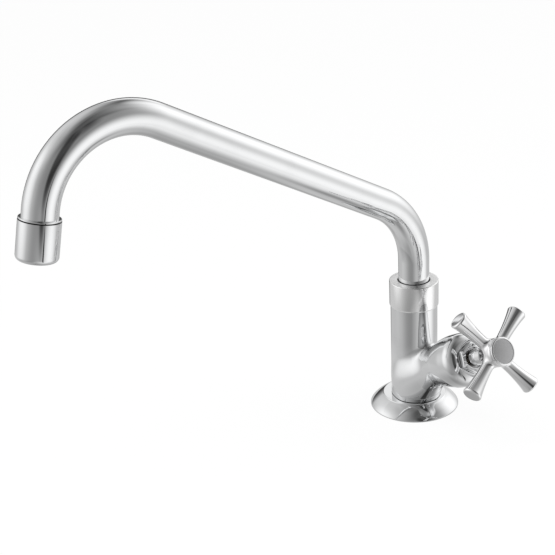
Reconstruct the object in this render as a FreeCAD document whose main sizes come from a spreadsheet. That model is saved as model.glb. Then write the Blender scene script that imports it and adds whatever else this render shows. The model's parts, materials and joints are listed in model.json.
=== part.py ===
import FreeCAD, Part
import math
import os
import re
import Sketcher
from FreeCAD import Placement, Rotation, Vector

# A pillar kitchen tap with a swivel spout and one cross handle.
# Origin: centre of the base flange's underside, on the barrel's axis. +Z is up, the spout points
# to -X and the side branch with the handle points to -Y and rises.

doc = FreeCAD.newDocument("KitchenTap")
sheet = doc.addObject("Spreadsheet::Sheet", "Sizes")

# Driving dimensions in millimetres and degrees
sizes = {
    # barrel and side branch
    "barrel_radius": 14.55,
    "branch_height": 22.5,
    "branch_rise": 28.5,
    "branch_length": 59.7,
    "neck_inset": 1.55,
    "flare_offset": 0.9,
    "flare_length": 17.5,
    "flare_rise": 3.3,
    "flare_round": 14.0,
    "shoulder_radius": 7.0,
    "crotch_fillet": 3.5,
    "nut_seat": 68.9,
    # fits
    "press_gap": 0.03,
    "running_gap": 0.05,
    "face_gap": 0.1,
    "loose_gap": 0.4,
    # base flange and its gasket
    "flange_radius": 27.9,
    "flange_height": 7.9,
    "flange_rim": 0.7,
    "dome_radius": 20.0,
    "plateau_radius": 19.5,
    "plateau_step": 0.4,
    "rim_width": 2.6,
    "gasket_width": 6.3,
    "gasket_depth": 2.0,
    "spigot_wall": 2.0,
    "spigot_depth": 5.9,
    # inlet shank and its fixings under the worktop
    "shank_radius": 11.0,
    "spare_thread": 7.5,
    "tail_radius": 10.48,
    "tail_length": 16.0,
    "shank_grip": 12.0,
    "inlet_radius": 5.5,
    "worktop": 30.0,
    "clamp_radius": 22.0,
    "clamp_gasket": 3.0,
    "clamp_washer": 1.5,
    "back_nut_flats": 30.0,
    "back_nut_height": 8.0,
    # spout tube
    "tube_radius": 9.525,
    "tube_wall": 1.0,
    "tube_neck": 13.44,
    "bend_radius": 47.6,
    "spout_rise": 28.75,
    "spout_run": 165.3,
    "outlet_lean": 11.55,
    "outlet_straight": 4.65,
    # spout foot, nut and rings
    "collar_wall": 1.5,
    "collar_height": 12.1,
    "ferrule_wall": 1.425,
    "ferrule_drop": 19.7,
    "socket_depth": 9.0,
    "shoulder_height": 1.5,
    "shoulder_step": 1.2,
    "slip_ring": 1.0,
    "slip_split": 2.0,
    "nut_wall": 2.69,
    "nut_lip": 1.6,
    "nut_chamfer": 1.0,
    "edge_break": 0.3,
    "seal_width": 0.55,
    "seal_height": 1.2,
    "spout_oring": 0.65,
    "oring_first": 3.2,
    "oring_pitch": 4.0,
    # aerator
    "aerator_step": 1.575,
    "aerator_length": 21.4,
    "aerator_round": 3.0,
    "aerator_wall": 0.75,
    "aerator_lip": 1.5,
    "outlet_grip": 5.9,
    "outlet_thread": 7.9,
    "outlet_rim": 1.0,
    "aerator_washer": 1.5,
    "washer_width": 2.0,
    "screen_thickness": 0.4,
    "screen_hole": 0.5,
    "jet_hole": 0.8,
    "hole_pitch": 2.2,
    # waterways in the body
    "seat_bore": 5.0,
    "seat_floor": 13.0,
    "seat_thread": 7.0,
    "seat_length": 4.0,
    "seat_flange": 7.8,
    "seat_rim": 1.0,
    "seat_lip": 0.9,
    "upper_bore": 9.5,
    "upper_depth": 24.9,
    "port_radius": 3.5,
    "port_aside": 9.5,
    "port_rise": 14.0,
    # valve
    "valve_washer_radius": 6.8,
    "valve_washer": 3.0,
    "washer_screw_radius": 2.0,
    "screw_head": 3.2,
    "screw_head_height": 1.6,
    "screw_length": 8.0,
    "piston_flange": 7.2,
    "piston_flange_height": 2.0,
    "piston_floor": 6.0,
    "piston_flats": 11.0,
    "thread_radius": 3.9,
    "valve_lift": 5.0,
    "lift_margin": 1.15,
    # bonnet and spindle
    "bonnet_thread": 8.5,
    "hex_flats": 16.5,
    "hex_height": 3.4,
    "hex_turn": 21.5,
    "hex_chamfer": 1.2,
    "bonnet_oring": 0.6,
    "spindle_radius": 4.5,
    "spindle_collar": 5.5,
    "collar_thickness": 2.0,
    "thrust_thickness": 0.8,
    "gland_length": 10.7,
    "spindle_oring": 0.6,
    "clip_thickness": 0.8,
    "clip_radius": 5.9,
    "clip_bite": 0.6,
    "clip_recess": 2.0,
    "spline_radius": 4.0,
    "spline_length": 13.0,
    # cross handle
    "neck_outer": 5.2,
    "hub_rise": 3.75,
    "hub_radius": 8.6,
    "hub_throat": 3.5,
    "cap_radius": 8.5,
    "cap_rise": 8.3,
    "cap_thickness": 1.6,
    "cap_plug": 5.0,
    "cap_plug_length": 4.5,
    "index_radius": 7.35,
    "index_recess": 0.5,
    "index_thickness": 0.3,
    "arm_root": 3.55,
    "arm_straight": 11.0,
    "arm_tip": 5.6,
    "arm_reach": 31.4,
    "arm_round": 0.8,
    "arm_turn": 35.3,
    "handle_web": 2.0,
    "handle_screw_head": 3.6,
    "handle_screw_height": 3.0,
    "handle_screw_length": 9.0,
}
for row, (alias, size) in enumerate(sizes.items(), start=1):
    cell = "B%d" % row
    sheet.set("A%d" % row, alias)
    sheet.set(cell, str(size))
    sheet.setAlias(cell, alias)
doc.recompute()


# Sizes that follow from others, by name
derived = {
    # barrel and side branch
    "neck_radius": "barrel_radius - neck_inset",
    "branch_radius": "neck_radius + flare_rise",
    "crotch_reach": "(barrel_radius + neck_radius * sin(branch_rise * 1deg)) / cos(branch_rise * 1deg)",
    "flare_start": "crotch_reach + flare_offset",
    "flare_arcs": "(flare_length ^ 2 + flare_rise ^ 2) / 2 / flare_rise",
    "flare_share": "1 - flare_round / flare_arcs",
    "spigot_base": "flange_height - spigot_depth",
    "spigot_radius": "shank_radius + press_gap + spigot_wall",
    "collar_top": "nut_seat + collar_height",
    "collar_radius": "ferrule_radius + running_gap + collar_wall",
    # waterways
    "upper_floor": "nut_seat - upper_depth",
    "port_floor": "branch_height + port_rise",
    "chamber_floor": "seat_floor + seat_length",
    "chamber_radius": "bonnet_thread + running_gap",
    # flange, gasket and shank
    "gasket_outer": "flange_radius - rim_width",
    "gasket_inner": "gasket_outer - gasket_width",
    "washer_level": "worktop + clamp_gasket + clamp_washer",
    "nut_level": "washer_level + back_nut_height",
    "shank_drop": "nut_level + spare_thread + tail_length",
    "shank_length": "shank_drop + spigot_base + shank_grip - face_gap",
    # spout foot, from the collar up
    "ferrule_radius": "tube_radius + ferrule_wall",
    "ferrule_base": "collar_top + face_gap - ferrule_drop",
    "shoulder_base": "collar_top + face_gap",
    "shoulder_top": "shoulder_base + shoulder_height",
    "slip_base": "shoulder_top + face_gap",
    "slip_top": "slip_base + slip_ring",
    "lip_base": "slip_top + face_gap",
    "nut_top": "lip_base + nut_lip",
    "nut_radius": "collar_radius + running_gap + nut_wall",
    "tube_foot": "shoulder_top - socket_depth",
    "tube_upright": "nut_top + tube_neck - tube_foot",
    # outlet and aerator, from the top of the aerator's sleeve down
    "outlet_x": "bend_radius * (1 - sin(spout_rise * 1deg)) + spout_run * cos(spout_rise * 1deg)"
                " + bend_radius * (sin(spout_rise * 1deg) + cos(outlet_lean * 1deg))"
                " + outlet_straight * sin(outlet_lean * 1deg)",
    "outlet_z": "nut_top + tube_neck + spout_run * sin(spout_rise * 1deg)"
                " + bend_radius * sin(outlet_lean * 1deg) - outlet_straight * cos(outlet_lean * 1deg)",
    "aerator_radius": "tube_radius + aerator_step",
    "aerator_bore": "aerator_radius - aerator_wall",
    "aerator_mouth": "aerator_radius - aerator_round - edge_break",
    "insert_radius": "aerator_bore - face_gap",
    "washer_top": "outlet_thread + face_gap / 2",
    "screen_top": "washer_top + aerator_washer + face_gap / 2",
    "insert_top": "screen_top + screen_thickness + face_gap / 2",
    "insert_length": "aerator_length - aerator_lip - face_gap / 2 - insert_top",
    # valve, along the branch's axis from the barrel's axis, shut
    "seat_shoulder": "chamber_floor + seat_rim",
    "seat_top": "seat_shoulder + seat_lip",
    "washer_base": "seat_top + face_gap / 2",
    "piston_base": "washer_base + valve_washer",
    "piston_screw_end": "washer_base + screw_length",
    "bonnet_seat": "branch_length + face_gap / 2",
    "hex_top": "bonnet_seat + hex_height",
    "recess_floor": "hex_top - clip_recess",
    "gland_base": "recess_floor - gland_length",
    "thrust_base": "gland_base - face_gap / 2 - thrust_thickness",
    "collar_base": "thrust_base - face_gap / 2 - collar_thickness",
    "piston_top": "collar_base - valve_lift - 2 * lift_margin",
    "skirt_base": "piston_base + piston_flange_height + valve_lift + lift_margin",
    "spindle_tip": "piston_base + piston_floor + valve_lift + loose_gap",
    "clip_base": "recess_floor + loose_gap / 2",
    "clip_groove": "spline_radius - clip_bite",
    # handle
    "neck_base": "hex_top + loose_gap",
    "spindle_end": "neck_base + spline_length",
    "web_base": "spindle_end + loose_gap",
    "web_top": "web_base + handle_web",
    "screw_hole": "washer_screw_radius + press_gap",
    "handle_plane": "web_top + hub_rise",
    "arm_curve": "arm_reach - arm_round - arm_straight",
    "arm_spread": "arm_tip - arm_root",
    "cap_top": "handle_plane + cap_rise",
    "cap_base": "cap_top - cap_thickness",
    "index_floor": "cap_top - index_recess",
}


# An expression written with the names above, as the document wants it
def sized(text):
    def full(word):
        name = word.group()
        return "(" + sized(derived[name]) + ")" if name in derived else "Sizes." + name
    return re.sub(r"\b(?!deg\b|sin\b|cos\b)[a-z]\w*", full, text)


def value(text):
    return float(sheet.evalExpression(sized(text)))


def make_body(label):
    body = doc.addObject("PartDesign::Body", label)
    body.Label = label
    return body


# A sketch on one of the body's own planes, moved and turned within that plane or lifted off it
def make_sketch(body, name, role="XY_Plane", x="0", y="0", z="0", turn="0"):
    sketch = body.newObject("Sketcher::SketchObject", name)
    plane = next(item for item in body.Origin.OriginFeatures if item.Role == role)
    sketch.AttachmentSupport = [(plane, "")]
    sketch.MapMode = "FlatFace"
    axis = Vector(0, 0, 1)
    sketch.AttachmentOffset = Placement(Vector(value(x), value(y), value(z)), Rotation(axis, value(turn)))
    for path, text in (("Base.x", x), ("Base.y", y), ("Base.z", z), ("Rotation.Angle", turn)):
        if text != "0":
            sketch.setExpression("AttachmentOffset." + path, sized(text))
    return sketch


# One coordinate of a sketch point, bound to the sheet
def bind_point(sketch, geometry, end, kind, text):
    if text == "0":
        axis = -2 if kind == "DistanceX" else -1
        sketch.addConstraint(Sketcher.Constraint("PointOnObject", geometry, end, axis))
        return
    index = sketch.addConstraint(Sketcher.Constraint(kind, -1, 1, geometry, end, value(text)))
    sketch.setExpression("Constraints[%d]" % index, sized(text))


# The middle of the arc from start to finish; it bulges to the left of the way for a positive side
def arc_middle(start, finish, radius, side):
    half = (finish - start) * 0.5
    left = Vector(-half.y, half.x, 0).normalize() * side
    sag = radius - math.sqrt(radius * radius - half.Length * half.Length)
    return start + half + left * sag


# A closed outline. Each corner is (x, y), or (x, y, radius, side) where an arc leads to it
def outline(sketch, corners):
    points = [Vector(value(corner[0]), value(corner[1]), 0) for corner in corners]
    ends = []
    for index, corner in enumerate(corners):
        start, finish = points[index - 1], points[index]
        if len(corner) == 2:
            edge = sketch.addGeometry(Part.LineSegment(start, finish), False)
            ends.append((edge, 1, 2))
            continue
        radius, side = value(corner[2]), corner[3]
        middle = arc_middle(start, finish, radius, side)
        edge = sketch.addGeometry(Part.Arc(start, middle, finish), False)
        first = 1 if (sketch.getPoint(edge, 1) - start).Length < 1e-4 else 2
        ends.append((edge, first, 3 - first))
        bend = sketch.addConstraint(Sketcher.Constraint("Radius", edge, radius))
        sketch.setExpression("Constraints[%d]" % bend, sized(corner[2]))
    for index, corner in enumerate(corners):
        edge, first, last = ends[index]
        following, start_of_next, end_of_next = ends[(index + 1) % len(ends)]
        sketch.addConstraint(Sketcher.Constraint("Coincident", edge, last, following, start_of_next))
        bind_point(sketch, edge, last, "DistanceX", corner[0])
        bind_point(sketch, edge, last, "DistanceY", corner[1])
    return sketch


# A circle with its centre and radius bound to the sheet
def circle(sketch, radius, x="0", y="0"):
    centre = Vector(value(x), value(y), 0)
    edge = sketch.addGeometry(Part.Circle(centre, Vector(0, 0, 1), value(radius)), False)
    index = sketch.addConstraint(Sketcher.Constraint("Radius", edge, value(radius)))
    sketch.setExpression("Constraints[%d]" % index, sized(radius))
    bind_point(sketch, edge, 3, "DistanceX", x)
    bind_point(sketch, edge, 3, "DistanceY", y)
    return edge


# A regular hexagon by its width across flats, with its first corner turned from the x axis
def hexagon(sketch, flats):
    corners = []
    for step in range(6):
        angle = math.radians(60 * step)
        corners.append(Vector(math.cos(angle), math.sin(angle), 0) * value(flats) / math.sqrt(3))
    sides = []
    for step in range(6):
        side = sketch.addGeometry(Part.LineSegment(corners[step], corners[(step + 1) % 6]), False)
        sides.append(side)
    for step in range(6):
        sketch.addConstraint(Sketcher.Constraint("Coincident", sides[step], 2, sides[(step + 1) % 6], 1))
    guide = sketch.addGeometry(Part.Circle(Vector(), Vector(0, 0, 1), value(flats) / math.sqrt(3)), True)
    sketch.addConstraint(Sketcher.Constraint("Coincident", guide, 3, -1, 1))
    for side in sides:
        sketch.addConstraint(Sketcher.Constraint("PointOnObject", side, 1, guide))
    for side in sides[1:]:
        sketch.addConstraint(Sketcher.Constraint("Equal", sides[0], side))
    sketch.addConstraint(Sketcher.Constraint("PointOnObject", sides[0], 1, -1))
    index = sketch.addConstraint(Sketcher.Constraint("Radius", guide, value(flats) / math.sqrt(3)))
    sketch.setExpression("Constraints[%d]" % index, sized(flats + " / 2 / cos(30 deg)"))


# Turns an outline once round the sketch's own upright axis, as new metal or as a cut
def spin(body, sketch, cut=False):
    kind = "PartDesign::Groove" if cut else "PartDesign::Revolution"
    feature = body.newObject(kind, sketch.Name + ("Cut" if cut else "Turned"))
    feature.Profile = sketch
    feature.ReferenceAxis = (sketch, ["V_Axis"])
    feature.Angle = 360
    sketch.Visibility = False
    return feature


def turned(body, name, corners, cut=False, role="XZ_Plane", **where):
    return spin(body, outline(make_sketch(body, name, role, **where), corners), cut)


def pad(body, sketch, length):
    feature = body.newObject("PartDesign::Pad", sketch.Name + "Pad")
    feature.Profile = sketch
    feature.setExpression("Length", sized(length))
    return feature


# A cut from the sketch upwards, on a sketch that lies in the body's XY plane
def pocket(body, sketch, length):
    feature = body.newObject("PartDesign::Pocket", sketch.Name + "Pocket")
    feature.Profile = sketch
    feature.Reversed = True
    feature.setExpression("Length", sized(length))
    return feature


def pattern(body, feature, count):
    copies = body.newObject("PartDesign::PolarPattern", feature.Name + "Pattern")
    copies.Originals = [feature]
    axis = next(item for item in body.Origin.OriginFeatures if item.Role == "Z_Axis")
    copies.Axis = (axis, [""])
    copies.Angle = 360
    copies.Occurrences = count
    body.Tip = copies
    return copies


# Names of a feature's edges that pass a test
def edges_where(feature, test):
    doc.recompute()
    return ["Edge%d" % (index + 1) for index, edge in enumerate(feature.Shape.Edges) if test(edge)]


def fillet(body, feature, radius, test):
    rounded = body.newObject("PartDesign::Fillet", feature.Name + "Fillet")
    rounded.Base = (feature, edges_where(feature, test))
    rounded.setExpression("Radius", sized(radius))
    return rounded


def place(part, x="0", z="0", axis=Vector(0, 0, 1), angle="0"):
    part.Placement = Placement(Vector(value(x), 0, value(z)), Rotation(axis, value(angle)))
    for path, text in (("Base.x", x), ("Base.z", z), ("Rotation.Angle", angle)):
        if text != "0":
            part.setExpression("Placement." + path, sized(text))


# A flat ring or plain bush between two radii, from one height to another
def ring(label, inner, outer, low, high):
    body = make_body(label)
    turned(body, label + "_outline", [(inner, low), (outer, low), (outer, high), (inner, high)])
    return body


def disc(label, radius, thickness):
    body = make_body(label)
    turned(body, label + "_outline", [("0", "0"), (radius, "0"), (radius, thickness), ("0", thickness)])
    return body


# Pieces of the valve are drawn along the branch's axis, with their origin on the barrel's axis
def on_branch(part):
    place(part, z="branch_height", axis=Vector(1, 0, 0), angle="90 - branch_rise")
    return part


# Pieces of the outlet are drawn from the top of the aerator's sleeve, down the way the water runs
def on_outlet(part, distance="0"):
    place(part, "-(outlet_x + (" + distance + ") * sin(outlet_lean * 1deg))",
          "outlet_z - (" + distance + ") * cos(outlet_lean * 1deg)",
          Vector(0, 1, 0), "180 + outlet_lean")
    return part


# Brass body: barrel and side branch in one casting, with the waterways bored
def make_tap_body():
    body = make_body("tap_body")
    turned(body, "barrel", [
        ("0", "spigot_base"), ("spigot_radius", "spigot_base"), ("spigot_radius", "flange_height"),
        ("barrel_radius - edge_break", "flange_height"),
        ("barrel_radius", "flange_height + edge_break"), ("barrel_radius", "nut_seat"),
        ("collar_radius", "nut_seat"), ("collar_radius", "collar_top"), ("0", "collar_top")])
    along = {"role": "YZ_Plane", "y": "branch_height", "turn": "90 - branch_rise"}
    branch = turned(body, "branch", [
        ("0", "0"), ("neck_radius", "0"), ("neck_radius", "flare_start"),
        ("neck_radius + flare_rise * flare_share", "flare_start + flare_length * flare_share",
         "flare_arcs * flare_share", 1),
        ("branch_radius", "flare_start + flare_length", "flare_round", -1),
        ("branch_radius", "branch_length - shoulder_radius"),
        ("branch_radius - shoulder_radius", "branch_length", "shoulder_radius", -1),
        ("0", "branch_length")], **along)
    fillet(body, branch, "crotch_fillet", is_crotch)
    turned(body, "inlet_bore", [
        ("0", "spigot_base"), ("shank_radius + press_gap", "spigot_base"),
        ("shank_radius + press_gap", "spigot_base + shank_grip"),
        ("inlet_radius", "spigot_base + shank_grip"), ("inlet_radius", "branch_height"),
        ("0", "branch_height")], cut=True)
    turned(body, "valve_bore", [
        ("0", "0"), ("seat_bore", "0"), ("seat_bore", "seat_floor"),
        ("seat_thread + press_gap", "seat_floor"), ("seat_thread + press_gap", "chamber_floor"),
        ("chamber_radius", "chamber_floor"), ("chamber_radius", "branch_length"),
        ("0", "branch_length")], cut=True, **along)
    turned(body, "spout_bore", [
        ("0", "upper_floor"), ("upper_bore", "upper_floor"), ("upper_bore", "ferrule_base - loose_gap"),
        ("ferrule_radius + running_gap", "ferrule_base - loose_gap"),
        ("ferrule_radius + running_gap", "collar_top"), ("0", "collar_top")], cut=True)
    turned(body, "port", [
        ("0", "port_floor"), ("port_radius", "port_floor"), ("port_radius", "upper_floor + port_radius"),
        ("0", "upper_floor + port_radius")], cut=True, role="YZ_Plane", x="-port_aside")
    return body


# The curve where the branch leaves the barrel: it lies on the barrel and isn't level or upright
def is_crotch(edge):
    first, last = edge.FirstParameter, edge.LastParameter
    points = [edge.valueAt(first + (last - first) * share) for share in (0.2, 0.5, 0.8)]
    on_barrel = all(abs(math.hypot(point.x, point.y) - value("barrel_radius")) < 0.01 for point in points)
    level = max(point.z for point in points) - min(point.z for point in points) < 0.01
    upright = (points[0] - points[2]).cross(Vector(0, 0, 1)).Length < 0.01
    return on_barrel and not level and not upright


# Base flange: a domed rim round a flat plateau, with a groove for the gasket underneath
def make_base_flange():
    body = make_body("base_flange")
    turned(body, "flange_section", [
        ("spigot_radius + face_gap", "0"), ("gasket_inner", "0"), ("gasket_inner", "gasket_depth"),
        ("gasket_outer", "gasket_depth"), ("gasket_outer", "0"), ("flange_radius - edge_break", "0"),
        ("flange_radius", "edge_break"), ("flange_radius", "flange_rim"),
        ("plateau_radius + plateau_step", "flange_height - plateau_step", "dome_radius", -1),
        ("plateau_radius", "flange_height - plateau_step"), ("plateau_radius", "flange_height"),
        ("spigot_radius + face_gap", "flange_height")])
    return body


def make_flange_gasket():
    return ring("flange_gasket", "gasket_inner + press_gap", "gasket_outer - press_gap",
                "0", "gasket_depth")


# Inlet shank, screwed into the body's foot: the fixing thread for the back nut, then the
# narrower tail for the supply nut
def make_inlet_shank():
    body = make_body("inlet_shank")
    turned(body, "shank_section", [
        ("inlet_radius", "0"), ("tail_radius - edge_break", "0"), ("tail_radius", "edge_break"),
        ("tail_radius", "tail_length"), ("shank_radius", "tail_length"),
        ("shank_radius", "shank_length"), ("inlet_radius", "shank_length")])
    place(body, z="-shank_drop")
    return body


def make_clamping_gasket():
    body = ring("clamping_gasket", "shank_radius + loose_gap", "clamp_radius", "0", "clamp_gasket")
    place(body, z="-(worktop + clamp_gasket)")
    return body


def make_clamping_washer():
    body = ring("clamping_washer", "shank_radius + loose_gap", "clamp_radius - loose_gap",
                "0", "clamp_washer")
    place(body, z="-washer_level")
    return body


# Six-sided block with a round bore and its corners chamfered at the top
def hex_block(body, name, flats, bore, low, high, chamfer, turn="0"):
    sketch = make_sketch(body, name + "_hex", turn=turn)
    hexagon(sketch, flats)
    circle(sketch, bore)
    pad(body, sketch, high)
    corner = flats + " / 2 / cos(30 deg)"
    if low != "0":
        turned(body, name + "_underside", [
            (bore, "0"), (corner + " + 1", "0"), (corner + " + 1", low), (bore, low)], cut=True)
    turned(body, name + "_corners", [
        (flats + " / 2", high), (corner + " + 1", high + " - " + chamfer), (corner + " + 1", high)],
        cut=True)


def make_back_nut():
    body = make_body("back_nut")
    hex_block(body, "back_nut", "back_nut_flats", "shank_radius + press_gap", "0", "back_nut_height",
              "hex_chamfer")
    place(body, z="-nut_level")
    return body


# Spout: one bent tube. It is drawn towards +X and turned round to point to -X
def make_spout_tube():
    body = make_body("spout_tube")
    section = make_sketch(body, "tube_section")
    circle(section, "tube_radius")
    circle(section, "tube_radius - tube_wall")
    route = make_sketch(body, "tube_route", "XZ_Plane")
    rise = math.radians(value("spout_rise"))
    lean = math.radians(value("outlet_lean"))
    bend = value("bend_radius")
    points = [Vector(0, 0, 0), Vector(0, value("tube_upright"), 0)]
    first_centre = points[1] + Vector(bend, 0, 0)
    points.append(first_centre + Vector(-math.sin(rise), math.cos(rise), 0) * bend)
    points.append(points[2] + Vector(math.cos(rise), math.sin(rise), 0) * value("spout_run"))
    second_centre = points[3] + Vector(math.sin(rise), -math.cos(rise), 0) * bend
    points.append(second_centre + Vector(math.cos(lean), math.sin(lean), 0) * bend)
    tail = value("outlet_straight + outlet_grip")
    points.append(points[4] + Vector(math.sin(lean), -math.cos(lean), 0) * tail)
    upright = route.addGeometry(Part.LineSegment(points[0], points[1]), False)
    low_bend = route.addGeometry(
        Part.Arc(points[1], arc_middle(points[1], points[2], bend, 1), points[2]), False)
    run = route.addGeometry(Part.LineSegment(points[2], points[3]), False)
    high_bend = route.addGeometry(
        Part.Arc(points[3], arc_middle(points[3], points[4], bend, 1), points[4]), False)
    drop = route.addGeometry(Part.LineSegment(points[4], points[5]), False)
    chain = [(upright, points[1], low_bend), (low_bend, points[2], run),
             (run, points[3], high_bend), (high_bend, points[4], drop)]
    for before, point, after in chain:
        first = 1 if (route.getPoint(before, 1) - point).Length < 1e-4 else 2
        second = 1 if (route.getPoint(after, 1) - point).Length < 1e-4 else 2
        route.addConstraint(Sketcher.Constraint("Tangent", before, first, after, second))
    route.addConstraint(Sketcher.Constraint("Coincident", upright, 1, -1, 1))
    route.addConstraint(Sketcher.Constraint("PointOnObject", upright, 2, -2))
    for edge, text in ((upright, "tube_upright"), (run, "spout_run"),
                       (drop, "outlet_straight + outlet_grip")):
        index = route.addConstraint(Sketcher.Constraint("Distance", edge, value(text)))
        route.setExpression("Constraints[%d]" % index, sized(text))
    for edge in (low_bend, high_bend):
        index = route.addConstraint(Sketcher.Constraint("Radius", edge, bend))
        route.setExpression("Constraints[%d]" % index, sized("bend_radius"))
    index = route.addConstraint(Sketcher.Constraint("Angle", run, rise))
    route.setExpression("Constraints[%d]" % index, sized("spout_rise * 1deg"))
    index = route.addConstraint(Sketcher.Constraint("Angle", drop, lean - math.pi / 2))
    route.setExpression("Constraints[%d]" % index, sized("(outlet_lean - 90) * 1deg"))
    tube = body.newObject("PartDesign::AdditivePipe", "tube_pipe")
    tube.Profile = section
    tube.Spine = (route, ["Edge%d" % number for number in range(1, 6)])
    place(body, z="tube_foot", angle="180")
    return body


# Brazed foot of the spout: it turns in the body's bore and its shoulder rests on the collar
def make_spout_ferrule():
    body = make_body("spout_ferrule")
    step = "ferrule_drop + shoulder_height - socket_depth - press_gap"
    turned(body, "ferrule_section", [
        ("tube_radius - tube_wall", "0"), ("ferrule_radius", "0"), ("ferrule_radius", "ferrule_drop"),
        ("collar_radius - running_gap", "ferrule_drop"),
        ("collar_radius - running_gap", "ferrule_drop + shoulder_height"),
        ("tube_radius + press_gap", "ferrule_drop + shoulder_height"),
        ("tube_radius + press_gap", step), ("tube_radius - tube_wall", step)])
    groove = "ferrule_radius - 2 * spout_oring"
    for index, middle in enumerate(("oring_first", "oring_first + oring_pitch")):
        low = middle + " - spout_oring - face_gap"
        high = middle + " + spout_oring + face_gap"
        turned(body, "oring_groove_%d" % index, [
            (groove, low), ("ferrule_radius", low), ("ferrule_radius", high), (groove, high)], cut=True)
    place(body, z="ferrule_base")
    return body


# Rubber ring of round section, in a groove
def o_ring(label, section, outside, height):
    torus = doc.addObject("Part::Torus", label)
    torus.Label = label
    torus.setExpression("Radius2", sized(section))
    torus.setExpression("Radius1", sized(outside + " - " + section))
    place(torus, z=height)
    return torus


# Rubber ring on the branch's axis, at a distance along it
def branch_o_ring(label, section, outside, distance):
    torus = o_ring(label, section, outside, "0")
    forward = "-(" + distance + ") * cos(branch_rise * 1deg)"
    height = "branch_height + (" + distance + ") * sin(branch_rise * 1deg)"
    torus.Placement = Placement(
        Vector(0, value(forward), value(height)), Rotation(Vector(1, 0, 0), value("90 - branch_rise")))
    torus.setExpression("Placement.Base.y", sized(forward))
    torus.setExpression("Placement.Base.z", sized(height))
    torus.setExpression("Placement.Rotation.Angle", sized("90 - branch_rise"))
    return torus


# Split plastic ring between the ferrule's shoulder and the nut's lip
def make_slip_ring():
    body = ring("slip_ring", "tube_radius + running_gap", "collar_radius - running_gap",
                "0", "slip_ring")
    gap = make_sketch(body, "slip_split")
    outline(gap, [
        ("tube_radius / 2", "slip_split / 2"), ("tube_radius / 2", "-slip_split / 2"),
        ("collar_radius + 1", "-slip_split / 2"), ("collar_radius + 1", "slip_split / 2")])
    pocket(body, gap, "slip_ring")
    place(body, z="slip_base", angle="180")
    return body


# Spout nut, screwed on the body's collar
def make_spout_nut():
    body = make_body("spout_nut")
    bore = "collar_radius + running_gap"
    lip = "lip_base - nut_seat"
    top = "nut_top - nut_seat"
    hole = "tube_radius + running_gap + seal_width"
    turned(body, "nut_section", [
        (bore, "face_gap"), ("nut_radius - nut_chamfer", "face_gap"),
        ("nut_radius", "face_gap + nut_chamfer"), ("nut_radius", top + " - edge_break"),
        ("nut_radius - edge_break", top), (hole, top), (hole, lip), (bore, lip)])
    place(body, z="nut_seat")
    return body


# Black ring that closes the gap between the nut's lip and the turning tube
def make_seal_ring():
    body = ring("seal_ring", "tube_radius + running_gap", "tube_radius + running_gap + seal_width",
                "0", "seal_height")
    place(body, z="nut_top + face_gap - seal_height")
    return body


# Ring brazed on the tube's outlet, with the thread that the aerator screws on
def make_outlet_ferrule():
    body = make_body("outlet_ferrule")
    rim = "aerator_radius - press_gap * 5"
    end = "outlet_rim + face_gap + outlet_thread"
    socket = "outlet_rim + face_gap + outlet_grip + press_gap"
    turned(body, "outlet_section", [
        ("tube_radius + press_gap", "0"), (rim + " - edge_break", "0"), (rim, "edge_break"),
        (rim, "outlet_rim"), ("aerator_bore - press_gap", "outlet_rim"),
        ("aerator_bore - press_gap", end), ("tube_radius - tube_wall", end),
        ("tube_radius - tube_wall", socket), ("tube_radius + press_gap", socket)])
    return on_outlet(body, "-(outlet_rim + face_gap)")


# Chromed sleeve of the aerator, with a lip that holds its insert
def make_aerator_housing():
    body = make_body("aerator_housing")
    turned(body, "housing_section", [
        ("aerator_bore", "0"), ("aerator_radius - edge_break", "0"), ("aerator_radius", "edge_break"),
        ("aerator_radius", "aerator_length - aerator_round"),
        ("aerator_radius - aerator_round", "aerator_length", "aerator_round", -1),
        ("aerator_mouth", "aerator_length"), ("aerator_mouth", "aerator_length - aerator_lip"),
        ("aerator_bore", "aerator_length - aerator_lip")])
    return on_outlet(body)


def make_aerator_washer():
    body = ring("aerator_washer", "insert_radius - washer_width", "insert_radius", "0", "aerator_washer")
    return on_outlet(body, "washer_top")


# Rings of small holes round a centre hole, cut through a disc
def perforate(body, name, hole, depth, rings):
    centre = make_sketch(body, name + "_centre")
    circle(centre, hole)
    pocket(body, centre, depth)
    for number in range(1, rings + 1):
        sketch = make_sketch(body, name + "_ring_%d" % number)
        circle(sketch, hole, x="hole_pitch * %d" % number)
        doc.recompute()
        pattern(body, pocket(body, sketch, depth), 6 * number)


def make_aerator_screen():
    body = disc("aerator_screen", "insert_radius", "screen_thickness")
    perforate(body, "mesh", "screen_hole", "screen_thickness", 3)
    return on_outlet(body, "screen_top")


def make_aerator_insert():
    body = disc("aerator_insert", "insert_radius", "insert_length")
    perforate(body, "jets", "jet_hole", "insert_length", 3)
    return on_outlet(body, "insert_top")


# Renewable seat, screwed in below the chamber; the washer shuts on its raised lip
def make_valve_seat():
    body = make_body("valve_seat")
    turned(body, "seat_section", [
        ("seat_bore", "seat_floor + face_gap"), ("seat_thread", "seat_floor + face_gap"),
        ("seat_thread", "chamber_floor + face_gap / 2"), ("seat_flange", "chamber_floor + face_gap / 2"),
        ("seat_flange", "seat_shoulder"), ("seat_bore + seat_lip", "seat_shoulder"),
        ("seat_bore + seat_lip", "seat_top"), ("seat_bore", "seat_top")])
    return on_branch(body)


def make_valve_washer():
    return on_branch(ring("valve_washer", "washer_screw_radius + press_gap", "valve_washer_radius",
                          "washer_base", "piston_base"))


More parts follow.
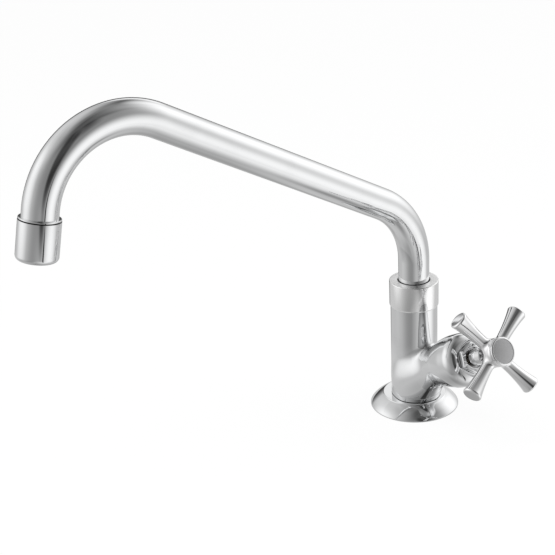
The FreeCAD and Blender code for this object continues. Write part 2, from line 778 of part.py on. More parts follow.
def make_washer_screw():
    body = make_body("washer_screw")
    turned(body, "washer_screw_section", [
        ("0", "washer_base - screw_head_height"), ("screw_head", "washer_base - screw_head_height"),
        ("screw_head", "washer_base"), ("washer_screw_radius", "washer_base"),
        ("washer_screw_radius", "piston_screw_end"), ("0", "piston_screw_end")])
    slot = make_sketch(body, "screw_slot")
    outline(slot, [
        ("screw_head + 1", "face_gap * 4"), ("-screw_head - 1", "face_gap * 4"),
        ("-screw_head - 1", "-face_gap * 4"), ("screw_head + 1", "-face_gap * 4")])
    pocket(body, slot, "washer_base - screw_head_height / 2")
    return on_branch(body)


# Brass piston: it carries the washer, slides in the bonnet's six-sided guide and holds the
# nut thread that the spindle drives
def make_valve_piston():
    body = make_body("valve_piston")
    sketch = make_sketch(body, "piston_guide")
    hexagon(sketch, "piston_flats")
    pad(body, sketch, "piston_top")
    turned(body, "piston_tail", [
        ("0", "0"), ("piston_flats", "0"), ("piston_flats", "piston_base"), ("0", "piston_base")],
        cut=True)
    turned(body, "piston_flange_section", [
        ("0", "piston_base"), ("piston_flange", "piston_base"),
        ("piston_flange", "piston_base + piston_flange_height"),
        ("0", "piston_base + piston_flange_height")])
    turned(body, "piston_screw_hole", [
        ("0", "piston_base"), ("screw_hole", "piston_base"),
        ("screw_hole", "piston_screw_end + face_gap"), ("0", "piston_screw_end + face_gap")], cut=True)
    turned(body, "piston_thread", [
        ("0", "piston_base + piston_floor"),
        ("thread_radius + running_gap", "piston_base + piston_floor"),
        ("thread_radius + running_gap", "piston_top"), ("0", "piston_top")], cut=True)
    return on_branch(body)


# Bonnet: screwed into the branch by its hexagon; it guides the piston and seals the spindle
def make_bonnet():
    body = make_body("bonnet")
    bore = "spindle_radius + running_gap"
    hex_block(body, "bonnet", "hex_flats", bore, "bonnet_seat", "hex_top", "hex_chamfer",
              turn="hex_turn")
    turned(body, "bonnet_skirt", [
        (bore, "skirt_base"), ("bonnet_thread", "skirt_base"), ("bonnet_thread", "bonnet_seat"),
        (bore, "bonnet_seat")])
    undercut = "branch_length - 2 * bonnet_oring - 2 * face_gap"
    turned(body, "oring_undercut", [
        ("bonnet_thread - 2 * bonnet_oring", undercut), ("bonnet_thread", undercut),
        ("bonnet_thread", "branch_length"), ("bonnet_thread - 2 * bonnet_oring", "branch_length")],
        cut=True)
    turned(body, "collar_bore", [
        ("0", "skirt_base"), ("spindle_collar + running_gap", "skirt_base"),
        ("spindle_collar + running_gap", "gland_base"), ("0", "gland_base")], cut=True)
    guide = make_sketch(body, "guide_hex")
    hexagon(guide, "(piston_flats + 2 * running_gap)")
    pocket(body, guide, "collar_base - face_gap")
    turned(body, "clip_recess_section", [
        ("0", "recess_floor"), ("clip_radius + loose_gap", "recess_floor"),
        ("clip_radius + loose_gap", "hex_top"), ("0", "hex_top")], cut=True)
    return on_branch(body)


def make_thrust_washer():
    return on_branch(ring("thrust_washer", "spindle_radius + running_gap", "spindle_collar - running_gap",
                          "thrust_base", "thrust_base + thrust_thickness"))


# Spindle: drive thread, thrust collar, sealed journal with two grooves, clip groove and spline
def make_spindle():
    body = make_body("spindle")
    shoulder = "collar_base + collar_thickness"
    groove_end = "clip_base + clip_thickness + face_gap"
    turned(body, "spindle_section", [
        ("0", "spindle_tip"), ("thread_radius", "spindle_tip"), ("thread_radius", "collar_base"),
        ("spindle_collar - running_gap", "collar_base"), ("spindle_collar - running_gap", shoulder),
        ("spindle_radius", shoulder), ("spindle_radius", "clip_base"), ("clip_groove", "clip_base"),
        ("clip_groove", groove_end), ("spline_radius", groove_end), ("spline_radius", "spindle_end"),
        ("0", "spindle_end")])
    for index, share in enumerate(("1 / 3", "2 / 3")):
        low = "gland_base + gland_length * " + share + " - spindle_oring - face_gap"
        high = "gland_base + gland_length * " + share + " + spindle_oring + face_gap"
        turned(body, "gland_groove_%d" % index, [
            ("spindle_radius - 2 * spindle_oring", low), ("spindle_radius", low),
            ("spindle_radius", high), ("spindle_radius - 2 * spindle_oring", high)], cut=True)
    bottom = "web_top - handle_screw_length - loose_gap"
    turned(body, "spindle_tapping", [
        ("0", bottom), ("screw_hole", bottom), ("screw_hole", "spindle_end"), ("0", "spindle_end")],
        cut=True)
    return on_branch(body)


# Spring clip that keeps the spindle from being pushed inwards
def make_spindle_circlip():
    low = "clip_base + face_gap / 2"
    high = "clip_base + face_gap / 2 + clip_thickness"
    body = ring("spindle_circlip", "clip_groove + press_gap", "clip_radius", low, high)
    gap = make_sketch(body, "clip_gap")
    outline(gap, [
        ("spline_radius / 2", "spline_radius / 4"), ("spline_radius / 2", "-spline_radius / 4"),
        ("clip_radius + 1", "-spline_radius / 4"), ("clip_radius + 1", "spline_radius / 4")])
    pocket(body, gap, high)
    return on_branch(body)


# Cross handle: a neck over the spindle, a hub that flares from it towards the cap, and four arms
def make_cross_handle():
    body = make_body("cross_handle")
    turned(body, "hub", [
        ("0", "neck_base"), ("neck_outer", "neck_base"), ("neck_outer", "handle_plane - 2 * hub_throat"),
        ("hub_radius", "handle_plane", "6 * hub_throat", 1),
        ("hub_radius", "handle_plane + hub_throat"),
        ("cap_radius - edge_break", "cap_base - face_gap", "3 * hub_throat", -1),
        ("0", "cap_base - face_gap")])
    arm = turned(body, "arm", [
        ("0", "0"), ("arm_root", "0"), ("arm_root", "arm_straight"),
        ("arm_tip", "arm_reach - arm_round", "(arm_curve ^ 2 + arm_spread ^ 2) / 2 / arm_spread", 1),
        ("arm_tip - arm_round", "arm_reach", "arm_round", -1), ("0", "arm_reach")],
        role="XY_Plane", z="handle_plane", turn="arm_turn")
    doc.recompute()
    pattern(body, arm, 4)
    doc.recompute()
    hole = "washer_screw_radius + loose_gap / 2"
    turned(body, "handle_bore", [
        ("0", "neck_base"), ("spline_radius + press_gap", "neck_base"),
        ("spline_radius + press_gap", "web_base"), (hole, "web_base"), (hole, "web_top"),
        ("cap_plug + press_gap", "web_top"), ("cap_plug + press_gap", "cap_base"),
        ("0", "cap_base")], cut=True)
    return on_branch(body)


def make_handle_screw():
    body = make_body("handle_screw")
    seat = "web_top + press_gap"
    tip = "web_top + press_gap - handle_screw_length"
    turned(body, "handle_screw_section", [
        ("0", tip), ("washer_screw_radius", tip), ("washer_screw_radius", seat),
        ("handle_screw_head", seat), ("handle_screw_head", seat + " + handle_screw_height"),
        ("0", seat + " + handle_screw_height")])
    return on_branch(body)


def make_handle_cap():
    body = make_body("handle_cap")
    turned(body, "cap_section", [
        ("0", "cap_base - cap_plug_length"), ("cap_plug", "cap_base - cap_plug_length"),
        ("cap_plug", "cap_base"), ("cap_radius - edge_break", "cap_base"),
        ("cap_radius", "cap_base + edge_break"), ("cap_radius", "cap_top - 2 * edge_break"),
        ("cap_radius - 2 * edge_break", "cap_top"), ("index_radius + press_gap", "cap_top"),
        ("index_radius + press_gap", "index_floor"), ("0", "index_floor")])
    return on_branch(body)


def make_index_plate():
    body = make_body("index_plate")
    turned(body, "index_section", [
        ("0", "index_floor"), ("index_radius", "index_floor"),
        ("index_radius", "index_floor + index_thickness"), ("0", "index_floor + index_thickness")])
    return on_branch(body)


parts = [
    make_tap_body(), make_base_flange(), make_flange_gasket(), make_inlet_shank(),
    make_clamping_gasket(), make_clamping_washer(), make_back_nut(), make_spout_tube(),
    make_spout_ferrule(),
    o_ring("spout_o_ring_lower", "spout_oring", "ferrule_radius", "ferrule_base + oring_first"),
    o_ring("spout_o_ring_upper", "spout_oring", "ferrule_radius",
           "ferrule_base + oring_first + oring_pitch"),
    make_slip_ring(), make_spout_nut(), make_seal_ring(), make_outlet_ferrule(),
    make_aerator_housing(), make_aerator_washer(), make_aerator_screen(), make_aerator_insert(),
    make_valve_seat(), make_valve_washer(), make_washer_screw(), make_valve_piston(), make_bonnet(),
    branch_o_ring("bonnet_o_ring", "bonnet_oring", "bonnet_thread",
                  "branch_length - bonnet_oring - face_gap"),
    make_thrust_washer(), make_spindle(),
    branch_o_ring("spindle_o_ring_lower", "spindle_oring", "spindle_radius",
                  "gland_base + gland_length / 3"),
    branch_o_ring("spindle_o_ring_upper", "spindle_oring", "spindle_radius",
                  "gland_base + gland_length * 2 / 3"),
    make_spindle_circlip(), make_cross_handle(), make_handle_screw(), make_handle_cap(),
    make_index_plate(),
]

doc.recompute()
faults = [item.Name for item in doc.Objects if "Invalid" in item.State or "Error" in item.State]
faults += [part.Label for part in parts if part.Shape.isNull() or not part.Shape.isValid()]
if faults:
    raise SystemExit("failed: " + ", ".join(faults))

os.makedirs("parts", exist_ok=True)
for part in parts:
    part.Shape.exportStep("parts/%s.step" % part.Label)
    print(part.Label, len(part.Shape.Solids), round(part.Shape.Volume, 1))
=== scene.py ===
import json
import math

import bmesh
import bpy
import numpy as np
from mathutils import Matrix, Vector


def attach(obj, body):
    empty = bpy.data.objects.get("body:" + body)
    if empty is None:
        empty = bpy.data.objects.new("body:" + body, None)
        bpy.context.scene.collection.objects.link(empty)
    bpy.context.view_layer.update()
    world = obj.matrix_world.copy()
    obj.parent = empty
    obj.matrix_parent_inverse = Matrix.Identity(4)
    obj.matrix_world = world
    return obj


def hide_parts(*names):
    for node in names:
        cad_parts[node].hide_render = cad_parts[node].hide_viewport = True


# A chromed pillar tap for a kitchen: swivel spout, side branch and cross handle.
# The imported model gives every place; this file gives the finish. Lengths in the
# dictionaries are millimetres and angles are degrees.

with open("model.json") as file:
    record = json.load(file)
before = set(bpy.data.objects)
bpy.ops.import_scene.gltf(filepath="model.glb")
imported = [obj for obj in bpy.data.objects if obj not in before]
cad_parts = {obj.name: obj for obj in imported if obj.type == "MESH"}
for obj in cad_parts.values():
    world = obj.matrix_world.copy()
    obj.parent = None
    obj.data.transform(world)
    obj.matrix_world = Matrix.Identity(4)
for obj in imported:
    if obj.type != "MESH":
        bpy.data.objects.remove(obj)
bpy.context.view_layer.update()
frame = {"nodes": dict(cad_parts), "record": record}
scene = bpy.context.scene
mm = 0.001
print("frame loaded:", len(frame["nodes"]), "nodes")

# Where each group of pieces stands: its own Z is the axis that it was turned round
stands = {"branchRoot": 22.5, "branchTilt": 61.5, "outletReach": 240.09, "outletHeight": 183.322,
          "outletLean": 11.55}
upright = Matrix.Identity(4)
branch = Matrix.Translation((0, 0, stands["branchRoot"] * mm)) @ Matrix.Rotation(
    math.radians(stands["branchTilt"]), 4, "X")
outlet = Matrix.Translation((-stands["outletReach"] * mm, 0, stands["outletHeight"] * mm)) @ Matrix.Rotation(
    math.radians(180 + stands["outletLean"]), 4, "Y")


# Shader maths as plain expressions: every operator adds its Math node
class Wire:
    def __init__(self, tree, socket):
        self.tree = tree
        self.socket = socket

    def math(self, operation, first, second=0.0, third=0.0):
        node = self.tree.nodes.new("ShaderNodeMath")
        node.operation = operation
        for slot, item in zip(node.inputs, (first, second, third)):
            if isinstance(item, Wire):
                self.tree.links.new(item.socket, slot)
            else:
                slot.default_value = item
        return Wire(self.tree, node.outputs[0])

    def __add__(self, other):
        return self.math("ADD", self, other)

    def __radd__(self, other):
        return self.math("ADD", other, self)

    def __sub__(self, other):
        return self.math("SUBTRACT", self, other)

    def __rsub__(self, other):
        return self.math("SUBTRACT", other, self)

    def __mul__(self, other):
        return self.math("MULTIPLY", self, other)

    def __rmul__(self, other):
        return self.math("MULTIPLY", other, self)

    def above(self, low, high):  # 0 below low, 1 above high, soft between
        step = self.tree.nodes.new("ShaderNodeMapRange")
        step.interpolation_type = "SMOOTHSTEP"
        self.tree.links.new(self.socket, step.inputs["Value"])
        step.inputs["From Min"].default_value = low
        step.inputs["From Max"].default_value = high
        return Wire(self.tree, step.outputs["Result"])


class Nodes:
    def __init__(self, owner):
        owner.use_nodes = True
        self.tree = owner.node_tree
        self.tree.nodes.clear()

    # One node of any kind: its settings first, then the values or wires of its sockets
    def put(self, kind, settings=None, sockets=None, output=0):
        node = self.tree.nodes.new(kind)
        for name, setting in (settings or {}).items():
            setattr(node, name, setting)
        for name, item in (sockets or {}).items():
            if isinstance(item, Wire):
                self.tree.links.new(item.socket, node.inputs[name])
            else:
                node.inputs[name].default_value = item
        return Wire(self.tree, node.outputs[output]) if node.outputs else None

    def noise(self, where, size, detail=2.0, roughness=0.5):  # size is the pattern's in millimetres
        return self.put("ShaderNodeTexNoise", None, {
            "Vector": where, "Scale": 1000 / size, "Detail": detail, "Roughness": roughness})

    def lines(self, where, stretch, size, detail, roughness):  # a pattern drawn out one way
        drawn = self.put("ShaderNodeMapping", None, {"Vector": where, "Scale": stretch})
        return self.noise(drawn, size, detail, roughness)

    def along(self, where, axis):  # how far a place lies along an axis
        return self.put("ShaderNodeVectorMath", {"operation": "DOT_PRODUCT"}, {0: where, 1: axis}, output=1)

    def blend(self, share, first, second):  # from the first colour to the second
        return self.put("ShaderNodeMix", {"data_type": "RGBA"}, {0: share, 6: first, 7: second}, output=2)

    def finish(self, shader):
        self.put("ShaderNodeOutputMaterial", None, {"Surface": shader})


def grey(level):
    return (level, level, level, 1)


# The painted shade line of a joint across an axis: the axis, the joint's place along it and its width
def seam(place, height, width):
    axis = place.to_3x3().col[2]
    return axis, axis.dot(place.translation) / mm + height, width


# Polished and plated metal: a mirror with the faint waves of the polisher's wheel under it,
# a thin film of handling marks that dulls it in places, a few specks of dust, and painted shade in the gaps
# at its joint lines where given
def makeChrome(name, look):
    material = bpy.data.materials.new(name)
    nodes = Nodes(material)
    where = nodes.put("ShaderNodeTexCoord", output=3)
    waves = nodes.noise(where, look["waveSize"], 1.0)
    marks = nodes.noise(where, look["filmSize"], 4.0, 0.6).above(*look["filmEdge"])
    dust = nodes.noise(where, look["speckSize"]).above(*look["speckEdge"])
    tint = nodes.blend(marks * look["filmShare"] + dust * look["speckShare"],
                       (*look["colour"], 1), (*look["filmColour"], 1))
    if "joints" in look:  # painted shade in the gaps at the joint lines
        jointShade = 0.0
        for axis, height, width in look["joints"]:
            off = nodes.along(where, axis) - height * mm
            off = off.math("ABSOLUTE", off)
            jointShade = jointShade + (1 - off.above(width * 0.5 * mm, width * mm))
        tint = nodes.blend(jointShade, tint, grey(look["jointShadeLevel"]))
    rough = look["roughness"] + marks * look["filmRoughness"] + dust * look["speckRoughness"]
    if "frostFrom" in look:  # turned but not polished above this height
        low, high = look["frostEdge"]
        frost = nodes.along(where, (0, 0, 1)).above(
            (look["frostFrom"] + low) * mm, (look["frostFrom"] + high) * mm)
        rough = rough + frost * look["frostRoughness"]
    bump = nodes.put("ShaderNodeBump", None, {
        "Height": waves, "Strength": look["waveStrength"], "Distance": look["waveDepth"] * mm})
    if "lineSize" in look:  # fine marks of the cutting tool, round the axis
        lines = nodes.lines(where, look["lineStretch"], look["lineSize"], 3.0, 0.7)
        bump = nodes.put("ShaderNodeBump", None, {
            "Height": lines, "Strength": look["lineStrength"], "Distance": look["lineDepth"] * mm,
            "Normal": bump})
    shader = nodes.put("ShaderNodeBsdfPrincipled", None, {
        "Base Color": tint, "Metallic": 1.0, "Normal": bump, "Roughness": rough})
    nodes.finish(shader)
    return material


chromeLook = {
    "colour": (0.80, 0.805, 0.81), "roughness": 0.035,
    "waveSize": 14.0, "waveStrength": 0.12, "waveDepth": 0.05,
    "filmColour": (0.74, 0.745, 0.75), "filmSize": 22.0, "filmEdge": (0.45, 0.75), "filmShare": 0.6,
    "filmRoughness": 0.05,
    "speckSize": 0.9, "speckEdge": (0.72, 0.8), "speckShare": 0.4, "speckRoughness": 0.05,
    "jointShadeLevel": 0.02, "lineDepth": 0.01,
}
castLook = {**chromeLook, "waveSize": 9.0, "waveStrength": 0.2}
castChrome = makeChrome("castChrome", castLook)
tubeChrome = makeChrome("tubeChrome", {**chromeLook, "waveSize": 20.0, "waveStrength": 0.08})
satinChrome = makeChrome("satinChrome", {
    **chromeLook, "colour": (0.93, 0.93, 0.93), "filmColour": (0.87, 0.87, 0.87), "roughness": 0.13,
    "filmRoughness": 0.06, "lineSize": 0.5, "lineStretch": (0.05, 0.05, 6.0), "lineStrength": 0.1,
    "frostFrom": 85.3, "frostEdge": (-0.05, 0.03), "frostRoughness": 0.25})
# The outlet, handle, body and bonnet finishes paint shade along the gaps of their joint lines
outletChrome = makeChrome("outletChrome", {**chromeLook, "joints": [seam(outlet, -0.05, 0.45)]})
handleChrome = makeChrome("handleChrome", {
    **castLook, "colour": (0.93, 0.93, 0.935), "filmColour": (0.88, 0.88, 0.885),
    "joints": [seam(branch, 89.4, 0.4)]})
bodyChrome = makeChrome("bodyChrome", {**castLook, "joints": [seam(upright, 8.0, 0.35)]})
bonnetChrome = makeChrome("bonnetChrome", {**chromeLook, "joints": [seam(branch, 59.7, 0.45)]})
satinPlate = makeChrome("satinPlate", {
    **chromeLook, "colour": (0.55, 0.55, 0.555), "filmColour": (0.5, 0.5, 0.505), "roughness": 0.36,
    "lineSize": 0.35, "lineStretch": (1, 1, 1), "lineStrength": 0.4})


# Turned metal left bare, with the patches that it takes in use
def makeBare(name, look):
    material = bpy.data.materials.new(name)
    nodes = Nodes(material)
    where = nodes.put("ShaderNodeTexCoord", output=3)
    tarnish = nodes.noise(where, look["patchSize"], 4.0, 0.6).above(*look["patchEdge"])
    lines = nodes.lines(where, look["lineStretch"], look["lineSize"], 3.0, 0.6)
    tint = nodes.blend(tarnish * look["patchShare"], (*look["colour"], 1), (*look["tarnish"], 1))
    bump = nodes.put("ShaderNodeBump", None, {
        "Height": lines, "Strength": look["lineStrength"], "Distance": look["lineDepth"] * mm})
    shader = nodes.put("ShaderNodeBsdfPrincipled", None, {
        "Base Color": tint, "Metallic": 1.0, "Normal": bump,
        "Roughness": look["roughness"] + tarnish * look["patchRoughness"]})
    nodes.finish(shader)
    return material


brassLook = {
    "colour": (0.72, 0.52, 0.24), "tarnish": (0.42, 0.27, 0.11), "roughness": 0.24,
    "patchSize": 8.0, "patchEdge": (0.42, 0.68), "patchShare": 0.8, "patchRoughness": 0.18,
    "lineSize": 0.8, "lineStretch": (0.1, 0.1, 8.0), "lineStrength": 0.3, "lineDepth": 0.02,
}
brass = makeBare("brass", brassLook)
greasedBrass = makeBare("greasedBrass", {
    **brassLook, "colour": (0.26, 0.22, 0.15), "tarnish": (0.12, 0.10, 0.07)})
steel = makeBare("steel", {
    **brassLook, "colour": (0.62, 0.62, 0.63), "tarnish": (0.45, 0.44, 0.43), "patchSize": 6.0,
    "roughness": 0.28})


# Moulded rubber or plastic, with a fine grain and a dusting of lighter scuffs
def makeMoulded(name, look):
    material = bpy.data.materials.new(name)
    nodes = Nodes(material)
    where = nodes.put("ShaderNodeTexCoord", output=3)
    grain = nodes.noise(where, look["grainSize"], 3.0)
    scuffs = nodes.noise(where, look["scuffSize"], 5.0, 0.65).above(*look["scuffEdge"])
    tint = nodes.blend(scuffs * look["scuffShare"], (*look["colour"], 1), (*look["scuff"], 1))
    bump = nodes.put("ShaderNodeBump", None, {
        "Height": grain, "Strength": look["grainStrength"], "Distance": look["grainDepth"] * mm})
    shader = nodes.put("ShaderNodeBsdfPrincipled", None, {
        "Base Color": tint, "Normal": bump,
        "Roughness": look["roughness"] + scuffs * look["scuffRoughness"]})
    nodes.finish(shader)
    return material


rubberLook = {
    "colour": (0.018, 0.018, 0.019), "roughness": 0.55,
    "grainSize": 0.35, "grainStrength": 0.35, "grainDepth": 0.04,
    "scuff": (0.06, 0.06, 0.062), "scuffSize": 5.0, "scuffEdge": (0.52, 0.75), "scuffShare": 0.7,
    "scuffRoughness": 0.15,
}
rubber = makeMoulded("rubber", rubberLook)
nylon = makeMoulded("nylon", {
    **rubberLook, "colour": (0.78, 0.77, 0.73), "scuff": (0.68, 0.66, 0.6), "grainSize": 0.5,
    "roughness": 0.38})
greyPlastic = makeMoulded("greyPlastic", {
    **rubberLook, "colour": (0.24, 0.25, 0.26), "scuff": (0.34, 0.35, 0.36), "grainSize": 0.4,
    "roughness": 0.4})
print("materials made:", len(bpy.data.materials))


def dress(material, *names):
    for name in names:
        piece = frame["nodes"][name]
        if not piece.material_slots:
            piece.data.materials.append(material)
        for slot in piece.material_slots:
            slot.material = material


dress(castChrome, "base_flange", "cross_handle", "handle_cap")
dress(bodyChrome, "tap_body")
dress(bonnetChrome, "bonnet")
dress(tubeChrome, "spout_tube", "outlet_ferrule", "aerator_housing")
dress(satinChrome, "spout_nut", "index_plate")
dress(brass, "inlet_shank", "back_nut", "spout_ferrule", "valve_seat", "valve_piston")
dress(greasedBrass, "spindle")
dress(steel, "clamping_washer", "aerator_screen", "washer_screw", "spindle_circlip", "handle_screw")
dress(rubber, "flange_gasket", "clamping_gasket", "spout_o_ring_lower", "spout_o_ring_upper",
      "seal_ring", "aerator_washer", "valve_washer", "bonnet_o_ring", "spindle_o_ring_lower",
      "spindle_o_ring_upper")
dress(nylon, "slip_ring", "thrust_washer")
dress(greyPlastic, "aerator_insert")


# A section is drawn as (radius, height) or (radius, height, rounding)
def drawSection(section, closed):
    work = bmesh.new()
    corners = [work.verts.new((corner[0] * mm, 0, corner[1] * mm)) for corner in section]
    for first, second in zip(corners, corners[1:]):
        work.edges.new((first, second))
    if closed:
        work.edges.new((corners[-1], corners[0]))
    for corner, point in zip(section, corners):
        if len(corner) > 2:
            bmesh.ops.bevel(work, geom=[point], offset=corner[2] * mm, affect="VERTICES",
                            segments=max(4, int(corner[2] * 5)), profile=0.5, material=-1)
    return work


# The section spun once round its axis. One that starts and ends on the axis isn't closed
def lathe(section, steps=128, closed=True):
    work = drawSection(section, closed)
    bmesh.ops.spin(work, geom=work.verts[:] + work.edges[:], cent=(0, 0, 0), axis=(0, 0, 1),
                   angle=math.tau, steps=steps, use_merge=True)
    bmesh.ops.remove_doubles(work, verts=work.verts, dist=0.002 * mm)
    bmesh.ops.recalc_face_normals(work, faces=work.faces)
    return work


# A flat ring between two radii and two heights, with its inner and outer edges rounded
def flatRing(inside, outside, low, high, innerEdge, outerEdge):
    return lathe([(inside, low, innerEdge), (outside, low, outerEdge), (outside, high, outerEdge),
                  (inside, high, innerEdge)])


# Makes the object, rides it on its body and lets it stand for its node
def settle(work, name, node, material, place=upright):
    work.transform(place)
    mesh = bpy.data.meshes.new(name)
    work.to_mesh(mesh)
    work.free()
    for face in mesh.polygons:
        face.use_smooth = True
    mesh.set_sharp_from_angle(angle=math.radians(30))
    mesh.materials.append(material)
    piece = bpy.data.objects.new(name, mesh)
    scene.collection.objects.link(piece)
    bodies = frame["record"]["behaviour"]["bodies"]
    body = next(name for name, nodes in bodies.items() if node in nodes)
    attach(piece, body)
    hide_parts(node)
    return piece


# Carries a rim on as a turned surface, through (radius, height) stations
def carryOn(work, rim, place, stations):
    back = place.inverted()
    for radius, height in stations:
        made = bmesh.ops.extrude_edge_only(work, edges=rim)["geom"]
        rim = [item for item in made if isinstance(item, bmesh.types.BMEdge)]
        for point in {point for edge in rim for point in edge.verts}:
            local = back @ point.co
            local.xy = local.xy.normalized() * radius * mm
            local.z = height * mm
            point.co = place @ local
    return rim


# The stations of a quarter round that turns inwards over the end of a turned form
def quarterRound(radius, height, rounding, steps):
    turns = [math.radians(90 * step / steps) for step in range(1, steps + 1)]
    return [(radius - rounding + rounding * math.cos(turn), height + rounding * math.sin(turn))
            for turn in turns]


# Cuts everything above a height on the axis away, or everything below it, and gives the new rim
def cutOff(work, place, height, above=True):
    axis = place.to_3x3().col[2] * (1 if above else -1)
    made = bmesh.ops.bisect_plane(work, geom=work.verts[:] + work.edges[:] + work.faces[:],
                                  dist=0.001 * mm, plane_co=place @ Vector((0, 0, height * mm)),
                                  plane_no=axis, clear_outer=True)["geom_cut"]
    return [item for item in made if isinstance(item, bmesh.types.BMEdge)]


# Turned forms that flow into each other, as a foundry's pattern has them. They are joined
# into one skin, and each point of the skin is then drawn onto the rounded surface
def castForms(forms, blend, grain, under=0.0):
    work = bmesh.new()
    for form in forms:
        solid = lathe(form["section"], 96, False)
        solid.transform(form["place"])
        mesh = bpy.data.meshes.new("form")
        solid.to_mesh(mesh)
        solid.free()
        work.from_mesh(mesh)
        bpy.data.meshes.remove(mesh)
        line = drawSection(form["section"], False)
        stations = np.array(sorted((point.co.z, point.co.x) for point in line.verts if point.co.x > 0))
        line.free()
        form["heights"], form["radii"] = stations.T
        form["middles"] = (stations[1:, 0] + stations[:-1, 0]) / 2
        form["slopes"] = np.diff(stations[:, 1]) / np.diff(stations[:, 0])
    mesh = bpy.data.meshes.new("pattern")
    work.to_mesh(mesh)
    work.free()
    pattern = bpy.data.objects.new("pattern", mesh)
    scene.collection.objects.link(pattern)
    skin = pattern.modifiers.new("skin", "REMESH")
    skin.mode = "VOXEL"
    skin.voxel_size = grain * mm
    skinned = bpy.data.meshes.new_from_object(pattern.evaluated_get(bpy.context.evaluated_depsgraph_get()))
    bpy.data.objects.remove(pattern)
    bpy.data.meshes.remove(mesh)
    points = np.empty(len(skinned.vertices) * 3, np.float32)
    skinned.vertices.foreach_get("co", points)
    points = points.reshape(-1, 3).astype(float)
    for nearer in range(8):  # each pass brings the points nearer to the surface
        gap, outward = measureBlend(points, forms, blend * mm, under)
        points -= outward * (gap / (outward ** 2).sum(axis=1))[:, None]
    skinned.vertices.foreach_set("co", points.astype(np.float32).ravel())
    work = bmesh.new()
    work.from_mesh(skinned)
    bpy.data.meshes.remove(skinned)
    return work


# How far points lie outside a turned form, and which way is out. The form fades away behind
# its start, where it has one
def measureForm(points, form):
    turn = np.array(form["place"].to_3x3())
    local = (points - np.array(form["place"].translation)) @ turn
    radius = np.hypot(local[:, 0], local[:, 1])
    slope = np.interp(local[:, 2], form["middles"], form["slopes"])
    lean = 1 / np.sqrt(1 + slope ** 2)
    gap = (radius - np.interp(local[:, 2], form["heights"], form["radii"])) * lean
    outward = np.column_stack((local[:, 0] / radius, local[:, 1] / radius, -slope)) * lean[:, None]
    if "start" in form:
        behind = np.minimum(local[:, 2] - form["start"] * mm, 0)
        gap = gap + behind ** 2 / (8 * mm)
    return gap, outward @ turn.T


# The same for all the forms, rounded where one meets another, and more so underneath
def measureBlend(points, forms, blend, under):
    gap, outward = measureForm(points, forms[0])
    for form in forms[1:]:
        other, aside = measureForm(points, form)
        reach = blend * (1 - under * aside[:, 2])
        share = np.clip(0.5 + 0.5 * (other - gap) / reach, 0, 1)
        gap = other * (1 - share) + gap * share - reach * share * (1 - share)
        outward = aside * (1 - share)[:, None] + outward * share[:, None]
    return gap, outward


# Body casting: the upright barrel and the branch that carries the valve. The bores, collar and
# shank's seat are drawn from the rim inwards, as (radius, height) along their own axis
body = {
    "barrel": 14.55, "seat": 68.9, "foot": 7.9, "blend": 13.0, "under": 0.92, "grain": 0.5,
    "root": 11.7, "flare": 25.0, "flareRound": 8.0, "mouth": 16.3, "mouthFrom": 42.5, "mouthRound": 6.0,
    "branch": 59.7, "shoulder": 7.0,
    "collar": [(12.5, 68.9), (12.5, 81.0), (11.0, 81.0), (11.0, 61.0), (9.5, 61.0), (9.5, 46.0),
               (0.001, 46.0)],
    "shankSeat": [(14.25, 7.9), (13.03, 7.9), (13.03, 2.0), (11.03, 2.0), (11.03, 14.0), (5.5, 14.0),
                  (5.5, 16.0), (0.001, 16.0)],
    "valveBore": [(8.55, 59.7), (8.55, 17.0), (7.03, 17.0), (7.03, 13.0), (0.001, 13.0)],
}


def makeBody(look):
    barrel, mouth, shoulder = look["barrel"], look["mouth"], look["shoulder"]
    forms = [
        {"place": upright, "section": [(0, 4), (barrel, 4), (barrel, 73), (0, 73)]},
        {"place": branch, "start": 0.0, "section": [
            (0, 0), (look["root"], 0), (look["root"], look["flare"], look["flareRound"]),
            (mouth, look["mouthFrom"], look["mouthRound"]), (mouth, 56), (0, 56)]}]
    work = castForms(forms, look["blend"], look["grain"], look["under"])
    rim = cutOff(work, upright, look["seat"])
    carryOn(work, rim, upright, look["collar"])
    rim = cutOff(work, upright, look["foot"] + 0.3, above=False)
    carryOn(work, rim, upright, look["shankSeat"])
    rim = cutOff(work, branch, look["branch"] - shoulder)
    rounded = quarterRound(mouth, look["branch"] - shoulder, shoulder, 20)
    carryOn(work, rim, branch, rounded + look["valveBore"])
    bmesh.ops.remove_doubles(work, verts=work.verts, dist=0.003 * mm)
    bmesh.ops.recalc_face_normals(work, faces=work.faces)
    return work


settle(makeBody(body), "bodyCasting", "tap_body", bodyChrome)
print("body made")

# Base flange: a dome round a flat seat, hollow underneath for its gasket
flange = {"radius": 27.9, "rim": 0.7, "seat": 19.5, "height": 7.9, "bore": 13.13, "dome": (24.82, 5.19, 5.2),
          "hollow": (19.0, 25.3), "deep": 2.0, "gasket": (19.05, 25.25)}
inner, outer = flange["hollow"]
settle(lathe([
    (flange["bore"], 0), (inner, 0), (inner, flange["deep"]), (outer, flange["deep"]), (outer, 0),
    (flange["radius"], 0, 0.25), (flange["radius"], flange["rim"], 0.3), flange["dome"],
    (flange["seat"] + 0.2, 7.5, 0.3), (flange["seat"], flange["height"], 0.2),
    (flange["bore"], flange["height"])], 192),
    "baseFlange", "base_flange", castChrome)


inner, outer = flange["gasket"]
settle(lathe([(inner, 0), (outer, 0), (outer, flange["deep"], 0.3), (inner, flange["deep"], 0.3)]),
       "flangeGasket", "flange_gasket", rubber)
print("flange made")

# Fixing under the worktop: threaded shank, gasket, washer and nut
fixing = {"shank": 11.0, "tail": 10.48, "bore": 5.5, "depth": 0.55, "low": -66.0, "step": -50.0, "high": 13.9,
          "pitch": 1.5, "thread": (-49.4, 13.6), "tailPitch": 1.81, "tailThread": (-65.5, -50.6),
          "hole": 11.4, "gasket": 22.0, "gasketHigh": -30.0, "washer": 21.6, "washerHigh": -33.0,
          "washerLow": -34.5}


